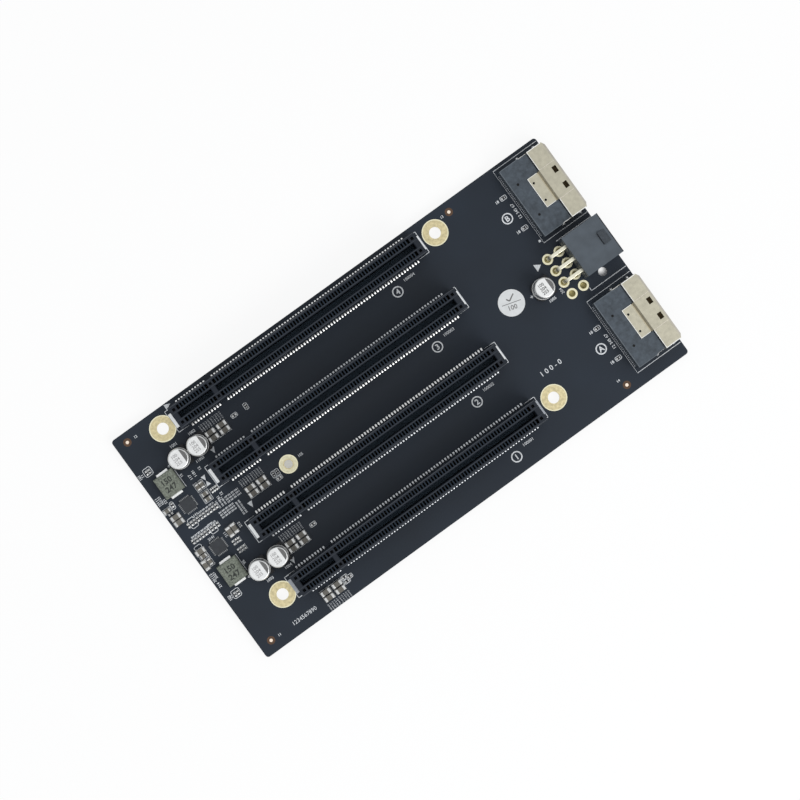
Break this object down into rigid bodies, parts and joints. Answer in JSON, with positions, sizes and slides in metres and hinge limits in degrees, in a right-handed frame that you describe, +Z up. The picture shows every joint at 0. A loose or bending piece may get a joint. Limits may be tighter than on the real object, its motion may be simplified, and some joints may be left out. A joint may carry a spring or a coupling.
{
  "type": "pcie adapter card",
  "caption": "Black slot adapter board with keyed full-length card slots, right-angle shielded cable sockets, a latching power header and small on-board regulators.",
  "frame": {"origin": "middle of the four mounting holes, on the board's underside", "axes": "+X along the slots towards the cable sockets, +Y across from slot 1 to slot 4, +Z up out of the component side"},
  "size_m": [0.1565, 0.0796, 0.014],
  "materials": {
    "board": "black solder mask, satin",
    "slot_plastic": "moulded high-temperature plastic, fine grain",
    "tinned_contact": "tin plated, soft sheen",
    "bright_tin": "bright tin plate",
    "socket_plastic": "dark slate moulded plastic",
    "shell_metal": "warm nickel plated sheet, satin",
    "header_plastic": "dark moulded nylon",
    "can_aluminium": "drawn can, satin",
    "base_plastic": "black moulded base",
    "coil_block": "pressed powder block, mottled grey green",
    "chip_plastic": "moulded package, fine matt",
    "resistor_body": "glazed black chip",
    "chip_ceramic": "sintered tan chip, satin",
    "sticker_paper": "coated white paper"
  },
  "bodies": {
    "root": {"cable_socket_a_contacts": "tinned_contact", "cable_socket_a_housing": "socket_plastic", "cable_socket_a_shell": "shell_metal", "cable_socket_b_contacts": "tinned_contact", "cable_socket_b_housing": "socket_plastic", "cable_socket_b_shell": "shell_metal", "capacitor_1_base": "base_plastic", "capacitor_1_can": "can_aluminium", "capacitor_1_leads": "bright_tin", "capacitor_2_base": "base_plastic", "capacitor_2_can": "can_aluminium", "capacitor_2_leads": "bright_tin", "capacitor_3_base": "base_plastic", "capacitor_3_can": "can_aluminium", "capacitor_3_leads": "bright_tin", "capacitor_4_base": "base_plastic", "capacitor_4_can": "can_aluminium", "capacitor_4_leads": "bright_tin", "capacitor_5_base": "base_plastic", "capacitor_5_can": "can_aluminium", "capacitor_5_leads": "bright_tin", "circuit_board": "board", "inductor_1_body": "coil_block", "inductor_1_terminals": "bright_tin", "inductor_2_body": "coil_block", "inductor_2_terminals": "bright_tin", "inspection_sticker": "sticker_paper", "power_header_housing": "header_plastic", "power_header_lower_pins": "tinned_contact", "power_header_upper_pins": "tinned_contact", "regulator_1_capacitors": "chip_ceramic", "regulator_1_resistors": "resistor_body", "regulator_2_capacitors": "chip_ceramic", "regulator_2_resistors": "resistor_body", "regulator_chip_1": "chip_plastic", "regulator_chip_2": "chip_plastic", "slot_1_bypass_capacitors": "chip_ceramic", "slot_1_contacts_a": "tinned_contact", "slot_1_contacts_b": "tinned_contact", "slot_1_hold_downs": "bright_tin", "slot_1_housing": "slot_plastic", "slot_2_bypass_capacitors": "chip_ceramic", "slot_2_contacts_a": "tinned_contact", "slot_2_contacts_b": "tinned_contact", "slot_2_hold_downs": "bright_tin", "slot_2_housing": "slot_plastic", "slot_3_bypass_capacitors": "chip_ceramic", "slot_3_contacts_a": "tinned_contact", "slot_3_contacts_b": "tinned_contact", "slot_3_hold_downs": "bright_tin", "slot_3_housing": "slot_plastic", "slot_4_bypass_capacitors": "chip_ceramic", "slot_4_contacts_a": "tinned_contact", "slot_4_contacts_b": "tinned_contact", "slot_4_hold_downs": "bright_tin", "slot_4_housing": "slot_plastic", "slot_resistors": "resistor_body", "socket_resistors": "resistor_body"}
  },
  "joints": []
}
